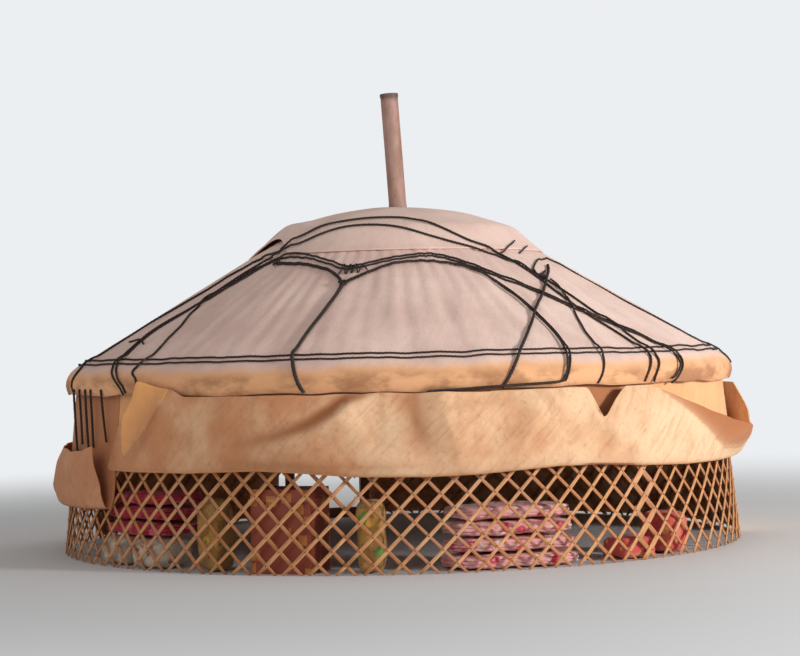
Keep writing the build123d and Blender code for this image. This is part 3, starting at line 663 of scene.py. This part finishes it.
# The inner face is paler along the strip and darker under the notch and inside the mouth at the right end,
# painted shade there.
turned_up("wall_felt_front", ["wall_felt_front_left", "wall_felt_front_right", "wall_felt_right"],
          -51.6, 88.9, front_foot, front_top, front_flare, front_folds, seed=11, lean=(5.5, 10.0),
          inner=-0.6, painted_light=front_painted_light,
          inside=((26, 29, 37, 40, 84, 86), (0.75, 0.1, 0.1, 0.75, 0.75, 0.1)), drawn_in=1)
low_foot = [(-106, 0.52), (-95, 0.47), (-75, 0.45), (-60, 0.46), (-52, 0.48)]
low_top = [(-106, 0.97), (-85, 0.945), (-66, 0.93), (-58, 0.96), (-52, 1.0)]
low_flare = [(-106, 0.0), (-72, 0.0), (-52, 0.09)]
low_folds = [
    (((-68, 0.90), (-76, 0.62)), (0.02, 0.03), (0.2, 0.2), (0.08, 0.1)),
    (((-90, 0.92), (-84, 0.60)), (0.02, 0.03), (0.1, 0.1), (0.2, 0.2)),
]
# Its inner face keeps a low tone: painted shade inside its roll.
turned_up("wall_felt_low", ["wall_felt_left"],
          -105.9, -52.4, low_foot, low_top, low_flare, low_folds, seed=23, lean=(0, -2.5))


def hung_down(name, nodes, start, end, seed):
    """A strip that hangs straight down the lattice to the ground."""
    bearing, height = np.arange(start, end, 0.5), np.linspace(strip_head, strip_foot, 70)[:, None]
    spots = place(bearing, strip_radius, height)
    sway = np.clip((1.5 - height) / 0.6, 0, 1)
    out = 0.008 * sway * (1 + lumps(spots * (1, 1, 0.3), 0.30, seed)) + 0.002 * lumps(spots, 0.12, seed + 1)
    grid = place(bearing, wall_radius(height) + rear_gap + out, height)
    strip = piece(name, [patch(grid)], [wall_felt], nodes)
    thicken(strip, felt_thick)


hung_down("wall_felt_rear_left", ["wall_felt_back_left"], -154.8, -106.1, 31)
hung_down("wall_felt_rear_right", ["wall_felt_back_right", "wall_felt_back"], 89.1, 186.8, 41)

# Ropes. Dark horsehair ropes of three strands: two rings round the eave, and ties thrown over the
# roof, two of them doubled, knotted where they meet and made fast under the hem. Some loose ends
# hang down the wall at the left, and one rope runs along under the hem in front.
covering = cap_line + [(1.375, cone(1.375) + 0.004), (1.42, cone(1.42))]
covering += [(r, cone(r)) for r in np.linspace(1.6, felt_bend, 9)] + hem_line
meridian, down_slope = evenly(flow(covering, 500), 0.005)
hem_end, hem_rows = down_slope[-1], 40
strand_turn, around = 0.11, 9
crossing = 0.028


def down_to(radius):
    """Distance down the slope to a radius in millimetres, or to a height on the hem given as minus."""
    if radius < 0:
        return np.interp(radius / 1000, -meridian[:, 1], down_slope)
    return np.interp(radius / 1000, meridian[:-hem_rows, 0], down_slope[:-hem_rows])


def on_cover(bearing, down):
    """Points on the covering and the way out of it."""
    radius = np.interp(down, down_slope, meridian[:, 0])
    height = np.interp(down, down_slope, meridian[:, 1])
    below, above = np.minimum(down + 0.02, hem_end), np.maximum(down - 0.02, 0)
    dr = np.interp(below, down_slope, meridian[:, 0]) - np.interp(above, down_slope, meridian[:, 0])
    dz = np.interp(below, down_slope, meridian[:, 1]) - np.interp(above, down_slope, meridian[:, 1])
    size = np.hypot(dr, dz)
    return place(bearing, radius, height), place(bearing, -dz / size, dr / size)


def twisted(line, out, radius):
    """A rope of three strands along a line."""
    run = np.concatenate([[0], np.cumsum(np.linalg.norm(np.diff(line, axis=0), axis=1))])
    along = np.gradient(line, axis=0)
    along /= np.linalg.norm(along, axis=1)[:, None]
    side = np.cross(along, out)
    side /= np.linalg.norm(side, axis=1)[:, None]
    up = np.cross(side, along)
    spin = 2 * np.pi * (run[:, None] / strand_turn + np.arange(around) / around)
    size = radius * (0.93 + 0.10 * np.cos(2 * np.pi * np.arange(around) / 3))[None, :]
    sideways, upwards = (np.cos(spin) * size)[..., None], (np.sin(spin) * size)[..., None]
    grid = line[:, None] + side[:, None] * sideways + up[:, None] * upwards
    return patch(grid, ring=True, caps=True, along=run, across=np.arange(around + 1) / around)


mix = Finish("rope")
strand = mix.clouds(90, 3, 0.6, mix.lengths, (1, 0.3, 1))
worn = mix.clouds(6, 2)
share = strand.rise(0.35, 0.75)
hair = mix.blend(worn.rise(0.4, 0.75), (0.05, 0.03, 0.022), (0.12, 0.07, 0.045))
rope = mix.done(mix.blend(share, (0.022, 0.014, 0.012), hair), 0.85, strand, 0.002)

laid_so_far = []


def laid(route, radius, aside=0.0):
    """A rope along (bearing, millimetres) on the covering, lifted over the ropes that it crosses."""
    places = [(bearing, down_to(away)) for bearing, away in route]
    track = flow(places, 40 * len(places))
    points, out = on_cover(track[:, 0], np.clip(track[:, 1], 0, hem_end))
    both = evenly(np.concatenate([points, out], 1), 0.02)[0]
    points, out = both[:, :3], both[:, 3:]
    along = np.gradient(points, axis=0)
    side = np.cross(along, out)
    points = points + side / np.linalg.norm(side, axis=1)[:, None] * aside
    lift = np.zeros(len(points))
    for other, thick in laid_so_far:
        gap = np.linalg.norm(points[:, None, :2] - other[None, :, :2], axis=2).min(1)
        lift = np.maximum(lift, (radius + thick) * np.exp(-((gap / crossing) ** 2)))
    lift = np.convolve(np.pad(lift, 2, mode="edge"), [0.15, 0.2, 0.3, 0.2, 0.15], "valid")
    away, turn = np.hypot(points[:, 0], points[:, 1]), np.degrees(np.arctan2(points[:, 0], -points[:, 1]))
    under = np.where(away > 1.37, wrinkled(points), 0.002)
    line = points + out * (radius + 0.001 + lift + under)[:, None]
    lip = mouth(turn, cap_radius)
    bare = (away < cap_radius) & (away > cap_radius - mouth_pull * lip) & (lip > 0.02)
    on_roof = cone(away) + radius + 0.006 - line[:, 2]
    shift = np.where(bare, on_roof, mouth(turn, away) * (away < cap_radius))
    line[:, 2] += np.convolve(np.pad(shift, 4, mode="edge"), np.full(9, 1 / 9), "valid")
    laid_so_far.append((points, radius))
    return twisted(line, out, radius)


# The two rings lie 60 mm apart, just above the hem.
ring_radius, rings = 0.009, []
for away in (2822, 2880):
    turn = np.arange(0, 360.4, 0.4)
    points, out = on_cover(turn, down_to(away) + 0.004 * np.sin(np.radians(turn * 3)))
    laid_so_far.append((points, ring_radius))
    rings.append(twisted(points + out * (0.010 + wrinkled(points))[:, None], out, ring_radius))
piece("eave_rings", rings, [rope], ["eave_ropes"])

# Each route goes through bearings and radii, or through heights on the hem, given as minus.
upper_tie = [
    (-70, -1425), (-70, -1500), (-69, -1600), (-70, 2790), (-70, 2389), (-68.3, 1950), (-66.3, 1703),
    (-64.1, 1552), (-60.5, 1410), (-54.8, 1335), (-50, 1285), (-44.2, 1190), (-34.9, 1070), (-26.5, 990),
    (-13.1, 935), (2.1, 950), (10, 1020), (19, 1130), (28.7, 1259), (38, 1390), (41.4, 1681),
    (41.8, 2005), (42.8, 2370), (43.9, 2680), (44, -1640), (43.6, -1605), (41.8, -1490), (41.3, -1425),
]
second_tie = [
    (-45.0, -1430), (-45.4, -1533), (-47.1, -1604), (-46.8, 2811), (-49.4, 2505), (-53.4, 2179),
    (-56.4, 1996), (-57.2, 1812), (-56.0, 1662), (-54.6, 1489), (-50.0, 1331), (-40.7, 1243),
    (-32.3, 1166), (-22.7, 1111), (-11, 1100), (1.6, 1134), (14.2, 1226), (26.7, 1333), (35.6, 1430),
    (43.0, 1700), (44.6, 2050), (45.8, 2510), (46.0, 2800), (45.4, -1605), (43.8, -1490), (43.1, -1425),
]
lower_tie = [
    (-48.6, -1425), (-49.4, -1502), (-53.3, -1625), (-56.2, 2750), (-59.8, 2419), (-58.5, 2100),
    (-55, 1889), (-52.8, 1700), (-50.5, 1500), (-43.8, 1375), (-32.3, 1400), (-23.1, 1490), (-16, 1590),
    (-12, 1590), (-5, 1510), (6, 1440), (16, 1460), (27, 1691), (34, 1930), (41.5, 2260), (48.0, 2589),
    (50.5, 2782), (51.6, -1620), (49.2, -1466), (48.0, -1425),
]
left_fall = [
    (-44, 1480), (-30, 1530), (-20, 1640), (-14.6, 1814), (-14.3, 1964), (-15.2, 2180), (-16.2, 2462),
    (-16.8, 2700), (-16.9, 2833), (-15.9, -1592), (-14.9, -1473), (-14.3, -1418),
]
front_fall = [
    (-14, 1853), (-9, 1700), (-1, 1560), (7, 1530), (17, 1570), (25, 1740), (28.0, 2000), (28.9, 2198),
    (29.1, 2500), (28.5, 2716), (27.4, -1652), (26.2, -1553), (25.4, -1455),
]
right_fall = [
    (44.5, 1850), (43.2, 2043), (36.6, 2503), (34.9, 2725), (34.2, 2870), (32.5, -1523), (31.6, -1425),
]
cap_loop = [
    (77.8, -1543), (76, 2850), (72.6, 2511), (71.7, 1938), (68, 1500), (60, 1490), (54.4, 1510),
    (45.7, 1642), (42.6, 1766), (49.0, 1690),
]
cap_pull = [
    (55.9, 1591), (48, 1740), (41.6, 1886), (31.6, 2199), (26.7, 2421), (21.6, 2706), (18.3, -1625),
    (16.5, -1506), (15.4, -1418),
]
lashing = [
    (-16.5, 1700), (-16.0, 1560), (-14.6, 1690), (-14.0, 1565), (-12.8, 1690), (-12.2, 1570),
    (-11.0, 1680), (-10.4, 1575), (-8.5, 1640),
]
left_hook = [(-64.5, 2560), (-61, 2545), (-57.5, 2570), (-55.5, 2600)]
first_tail, second_tail = [(39.9, 1411), (47, 1335), (55.6, 1262)], [(49.6, 1405), (56, 1352), (61.7, 1315)]
ties = []
for route, radius, pair in (
    (upper_tie, 0.0110, 0), (lower_tie, 0.0095, 0.024), (second_tie, 0.0105, 0), (left_fall, 0.0160, 0),
    (front_fall, 0.0095, 0.014), (right_fall, 0.0095, 0), (cap_loop, 0.0090, 0), (cap_pull, 0.0140, 0),
    (lashing, 0.0070, 0), (left_hook, 0.0090, 0), (first_tail, 0.0080, 0), (second_tail, 0.0070, 0),
):
    for aside in ((-pair, pair) if pair else (0,)):
        ties.append(laid(route, radius, aside))


def knot(bearing, away, size, radius):
    """A knot on the roof: a rope's end drawn round itself in a trefoil."""
    point, out = on_cover(np.array([bearing]), np.array([down_to(away)]))
    point, out = point[0], out[0]
    side = np.cross((0, 0, 1), out)
    side /= np.linalg.norm(side)
    up = np.cross(out, side)
    turn = np.linspace(0, 2 * np.pi, 50)
    line = point + out * (radius * 2.4)
    line = line + np.outer(np.sin(turn) + 2 * np.sin(2 * turn), side) * size / 3
    line = line + np.outer(np.cos(turn) - 2 * np.cos(2 * turn), up) * size / 3
    line = line + np.outer(-np.sin(3 * turn), out) * radius * 1.1
    return twisted(line, np.tile(out, (50, 1)), radius)


for bearing, away in ((-14, 1850), (43.5, 1806), (-44, 1480)):
    ties.append(knot(bearing, away, 0.035, 0.009))
piece("roof_ties", ties, [rope], ["tie_ropes"])

# The loose ends, each by its bearing, the height that it hangs down to and how far it sways.
tail_top, tails = 1.46, []
for bearing, low, sway in (
    (-68.6, 0.90, 0.6), (-65.0, 0.99, -0.4), (-62.0, 0.92, 0.3), (-59.6, 0.97, -0.2), (-55.5, 1.02, 0.5),
):
    height = np.linspace(tail_top, low, 24)
    radius = np.interp(height, [low, tail_top], [wall_radius(low) + 0.052, 3.010])
    line = place(bearing + sway * np.linspace(0, 1, 24) ** 2, radius, height)
    tails.append(twisted(line, place(np.full(24, bearing), 1.0, 0.0), 0.0115))
under_hem = [
    (25.6, 3.016, 1.50), (25.2, 3.020, 1.462), (23.7, 3.022, 1.443), (14.6, 3.022, 1.425),
    (9, 3.022, 1.410), (4.1, 3.020, 1.398),
]
track = evenly(flow(under_hem, 200), 0.1)[0]
line = evenly(place(track[:, 0], track[:, 1], track[:, 2]), 0.02)[0]
tails.append(twisted(line, line * (1, 1, 0) + (0, 0, 0.2), 0.0125))
piece("hanging_ties", tails, [rope], [])

# Stovepipe. A length of rusty sheet-iron pipe through the crown, leaning in its collar, with a
# band round its mouth that soot has darkened.
mix = Finish("rusty_iron")
bloom = mix.clouds(7, 5, 0.65, None, (1, 1, 0.35))
pits = mix.clouds(70, 3, 0.6)
colour = mix.blend(bloom.rise(0.32, 0.7), (0.50, 0.31, 0.25), (0.36, 0.19, 0.14))
colour = mix.blend(pits.rise(0.55, 0.75) * 0.6, colour, (0.16, 0.07, 0.05))
colour = mix.blend(mix.axis("Z").rise(3.99, 4.05) * 0.75, colour, (0.09, 0.055, 0.045))
rusty_iron = mix.done(colour, 0.55 + 0.35 * bloom, bloom + pits, 0.0015, 0.25)
dress("chimney_pipe", rusty_iron)
dress("pipe_collar", rusty_iron)

# Door curtain. A felt sheet nailed along the lintel at the back, rolled up out of the way over the
# doorway and tied with two ropes.
curtain_felt = felt("curtain_felt", (0.70, 0.52, 0.38), (0.74, 0.58, 0.45), (0.40, 0.22, 0.12), 0.35)
door_bearing, door_face = -164.0, 2.8925
roll_height, roll_radius, roll_middle = 1.338, 0.060, door_face + 0.062
curtain_width, curtain_thick = 0.85, 0.009
curtain_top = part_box("door_curtain")[1].z - 0.002
out = place(np.array([door_bearing]), 1.0, 0.0)[0]
aside = np.array((-out[1], out[0], 0))
turns = np.linspace(0, 1, 90)
spiral = np.pi * (0.5 + 5.4 * turns)
wound = 0.016 + (roll_radius - 0.024) * turns
roll = np.stack([
    roll_middle + wound * np.sin(spiral + 0.3), roll_height + wound * np.cos(spiral + 0.3),
], -1)
rise = np.array([
    (door_face + 0.008, roll_height + 0.045), (door_face + 0.0085, 1.40), (door_face + 0.0085, curtain_top),
])
outline, run = evenly(flow(np.concatenate([roll[:-14], rise]), 300), 0.008)
widths = np.linspace(-curtain_width / 2, curtain_width / 2, 40)
grid = (out * outline[:, 0][:, None, None] + (0, 0, 1) * outline[:, 1][:, None, None]
        + aside * widths[None, :, None])
grid = grid + out * (0.004 * lumps(grid, 0.15, 51))[..., None]
curtain = piece("door_curtain_rolled", [patch(grid)], [curtain_felt], ["door_curtain"])
thicken(curtain, curtain_thick)
ties = []
for across in (-0.27, 0.27):
    centre = out * roll_middle + aside * across + (0, 0, roll_height)
    spread = np.stack([
        out * np.sin(turn) + np.array((0, 0, 1)) * np.cos(turn) for turn in np.linspace(0, 2 * np.pi, 60)
    ])
    ties.append(twisted(centre + spread * 0.069, spread, 0.006))
piece("curtain_ties", ties, [rope], [])

# Bedding and goods. Quilts of printed cotton, folded and stacked against the lattice, one stack on
# round bundles, and beside them sacks and small bundles tied up in the same kind of cloth.


def printed(name, ground, petals, centres, leaf, scale):
    """Printed cotton: loose rosettes of petals on a plain ground, faded and dusty."""
    mix = Finish(name, sheen=0.15)
    waves = mix.node("TexNoise", {}, {"Vector": mix.here, "Scale": 9.0}, "Color")
    sockets = {0: waves, 1: (0.06, 0.06, 0.06), 2: mix.here}
    wander = mix.node("VectorMath", {"operation": "MULTIPLY_ADD"}, sockets)
    cell = mix.node("TexVoronoi", {}, {"Vector": wander, "Scale": scale}, "Distance")
    small = mix.node("TexVoronoi", {}, {"Vector": wander, "Scale": scale * 2.7}, "Distance")
    kind = mix.node("TexVoronoi", {}, {"Vector": wander, "Scale": scale}, "Color")
    colour = mix.blend((1 - small.rise(0.12, 0.3)) * 0.8, ground, leaf)
    colour = mix.blend(1 - cell.rise(0.34, 0.42), colour, mix.blend(kind.rise(0.45, 0.55), petals, centres))
    colour = mix.blend(1 - cell.rise(0.10, 0.16), colour, centres)
    weave = mix.clouds(260, 1)
    colour = mix.blend(mix.clouds(5, 3).rise(0.4, 0.8) * 0.25, colour, (0.30, 0.16, 0.12))
    return mix.done(colour, 0.88, weave + 2 * mix.clouds(20), 0.003)


red_print = printed(
    "red_quilt", (0.58, 0.02, 0.05), (0.86, 0.16, 0.24), (0.66, 0.03, 0.08), (0.22, 0.01, 0.03), 11)
pink_print = printed(
    "pink_quilt", (0.86, 0.42, 0.40), (0.72, 0.06, 0.10), (0.92, 0.70, 0.60), (0.52, 0.10, 0.10), 9)
sack_print = printed(
    "sack_cloth", (0.44, 0.23, 0.05), (0.70, 0.34, 0.07), (0.14, 0.30, 0.05), (0.22, 0.09, 0.03), 8)
bundle_print = printed(
    "bundle_cloth", (0.64, 0.08, 0.06), (0.78, 0.36, 0.14), (0.70, 0.18, 0.12), (0.32, 0.04, 0.04), 10)
cream_print = printed(
    "cream_cloth", (0.66, 0.56, 0.44), (0.50, 0.14, 0.10), (0.72, 0.64, 0.52), (0.36, 0.24, 0.12), 13)
lattice_gap = 0.016
quilt_thick, quilt_step, quilt_edge = 0.125, 0.1253, 0.055
bundle_top, on_bundles = 0.25, 0.2503


def stuffed(name, bearing, back, width, depth, low, high, soft, finish, nodes, seed, fold=0):
    """A quilt folded up, or a bundle: a plump block that rounds at its edges and creases. It stands
    back from the lattice by a gap and by as much as its edge is soft."""
    reach = np.sqrt((wall_radius(high - soft) - lattice_gap) ** 2 - (width / 2) ** 2) - back
    middle = place(np.array([bearing]), reach - depth / 2, (low + high) / 2)[0]
    out = place(np.array([bearing]), 1.0, 0.0)[0]
    side = np.cross((0, 0, 1), out)
    ball = bmesh.new()
    bmesh.ops.create_cube(ball, size=2)
    bmesh.ops.subdivide_edges(ball, edges=ball.edges[:], cuts=23, use_grid_fill=True)
    spots = np.array([corner.co for corner in ball.verts])
    half = np.array((depth, width, high - low)) / 2
    plump = spots / np.maximum(np.linalg.norm(spots, ord=5, axis=1), 1e-9)[:, None]
    shape = plump * half
    if fold:
        layers = np.abs(np.sin(np.pi * fold * (spots[:, 2] + 1) / 2))
        edge = np.clip(np.abs(spots[:, :2]).max(1) * 6 - 5, 0, 1)
        shape[:, :2] *= (1 - 0.05 * edge * (1 - layers) ** 3)[:, None]
    creases = lumps(shape + middle, 0.16, seed) * 0.016 + lumps(shape + middle, 0.06, seed + 1) * 0.006
    shape += (creases - 0.012)[:, None] * plump
    spots = middle + shape[:, :1] * out + shape[:, 1:2] * side + shape[:, 2:] * np.array((0, 0, 1))
    spots[:, 2] = np.maximum(spots[:, 2], low + 0.001)
    for corner, spot in zip(ball.verts, spots):
        corner.co = spot
    mesh = bpy.data.meshes.new(name)
    ball.to_mesh(mesh)
    ball.free()
    mesh.polygons.foreach_set("use_smooth", [True] * len(mesh.polygons))
    mesh.uv_layers.new(name="lengths")
    stand(name, mesh, [finish], nodes)


for n in range(3):
    low = on_bundles + n * quilt_step
    stuffed("red_quilt_%d" % (n + 1), -50, 0.012 * n, 0.90, 0.48, low, low + quilt_thick,
            quilt_edge, red_print, ["left_bedding"], seed=60 + n, fold=3)
for n, bearing in enumerate((-55, -45)):
    stuffed("white_bundle_%d" % (n + 1), bearing, 0, 0.42, 0.42, 0, bundle_top, 0.09,
            cream_print, ["left_bedding"], seed=65 + n)
for n in range(4):
    low = n * quilt_step
    stuffed("pink_quilt_%d" % (n + 1), 18, 0.008 * n, 1.10 - 0.04 * n, 0.52, low, low + quilt_thick,
            quilt_edge, pink_print, ["right_bedding"], seed=70 + n, fold=3)
for n, bearing in enumerate((-32, -5)):
    stuffed("sack_%d" % (n + 1), bearing, 0, 0.24, 0.30, 0, 0.58, 0.11,
            sack_print, ["grain_sacks"], seed=76 + n)
for n, (bearing, width, high, soft) in enumerate(((40, 0.38, 0.19, 0.08), (50, 0.33, 0.36, 0.11))):
    stuffed("small_bundle_%d" % (n + 1), bearing, 0.003, width, 0.34, 0, high, soft,
            bundle_print, ["small_bundles"], seed=80 + n)

# Chest. A storage chest of planks, painted in uneven red and yellow squares. It stands on the
# ground behind the lattice, between the two sacks.
mix = Finish("chest_wood")
away = mix.node("TexVoronoi", {"distance": "CHEBYCHEV"}, {"Vector": mix.here, "Scale": 7.0}, "Distance")
grain = mix.clouds(14, 4, 0.6, None, (6, 6, 0.7))
colour = mix.blend(away.rise(0.26, 0.30), (0.56, 0.19, 0.035), (0.30, 0.05, 0.02))
colour = mix.blend(1 - away.rise(0.12, 0.16), colour, (0.50, 0.30, 0.07))
colour = mix.blend(grain.rise(0.5, 0.8) * 0.5, colour, (0.20, 0.07, 0.03))
dress("storage_chest", mix.done(colour, 0.5, grain, 0.001))

# Stage. A pale floor that fades into a pale backdrop, three soft lamps, and a camera at the
# photograph's height and distance with its slight roll.
backdrop_colour = (0.84, 0.86, 0.88)
black, floor_grey = (0.0, 0.0, 0.0), (0.72, 0.72, 0.72)
world_strength = 0.36
camera_place, camera_aim = Vector((0.0, -18.7, 1.69)), Vector((0.02, 0.0, 1.93))
camera_lens, camera_roll, sensor_width = 92.0, 1.455, 36

mix = Finish("floor_grey")
away = mix.from_middle(mix.axis("X"), mix.axis("Y")).rise(5.0, 15.0)
mix.feed(mix.shader.inputs["Emission Color"], mix.blend(away, black, backdrop_colour))
mix.feed(mix.shader.inputs["Emission Strength"], 1.0)
mix.feed(mix.shader.inputs["Specular IOR Level"], 0.0)
floor_mesh = bpy.data.meshes.new("floor")
floor_mesh.from_pydata([(-60, -40, 0), (60, -40, 0), (60, 60, 0), (-60, 60, 0)], [], [(0, 1, 2, 3)])
floor_mesh.materials.append(mix.done(mix.blend(away, floor_grey, black), 0.95))
floor = bpy.data.objects.new("floor", floor_mesh)
bpy.context.scene.collection.objects.link(floor)

world = bpy.data.worlds.new("studio")
world.use_nodes = True
bpy.context.scene.world = world
tree = world.node_tree
rays = tree.nodes.new("ShaderNodeLightPath")
soft_light, backdrop = tree.nodes["Background"], tree.nodes.new("ShaderNodeBackground")
soft_light.inputs["Color"].default_value = (1, 1, 1, 1)
soft_light.inputs["Strength"].default_value = world_strength
backdrop.inputs["Color"].default_value = (*backdrop_colour, 1)
shown = tree.nodes.new("ShaderNodeMixShader")
tree.links.new(rays.outputs["Is Camera Ray"], shown.inputs[0])
tree.links.new(soft_light.outputs[0], shown.inputs[1])
tree.links.new(backdrop.outputs[0], shown.inputs[2])
tree.links.new(shown.outputs[0], tree.nodes["World Output"].inputs["Surface"])


def lamp(name, spot, aim, size, power):
    """A round soft lamp: metres across, and watts."""
    light = bpy.data.lights.new(name, "AREA")
    light.shape, light.size, light.energy = "DISK", size, power
    thing = bpy.data.objects.new(name, light)
    thing.location = spot
    thing.rotation_euler = (Vector(aim) - Vector(spot)).to_track_quat("-Z", "Y").to_euler()
    bpy.context.scene.collection.objects.link(thing)


lamp("key", (13.5, -9.5, 4.6), (0, 0, 1.3), 2.5, 1750)
lamp("fill", (-8.0, -15.0, 7.0), (0, 0, 1.3), 8.0, 330)
lamp("back", (6.0, 12.0, 8.0), (0, 0, 1.5), 6.0, 300)

camera = bpy.data.objects.new("camera", bpy.data.cameras.new("camera"))
camera.location = camera_place
turn = (camera_aim - camera_place).to_track_quat("-Z", "Y").to_matrix().to_4x4()
camera.rotation_euler = (turn @ Matrix.Rotation(np.radians(-camera_roll), 4, "Z")).to_euler()
camera.data.lens, camera.data.sensor_width = camera_lens, sensor_width
camera.data.clip_end = 300
bpy.context.scene.collection.objects.link(camera)
bpy.context.scene.camera = camera
bpy.context.scene.view_settings.view_transform = "Standard"
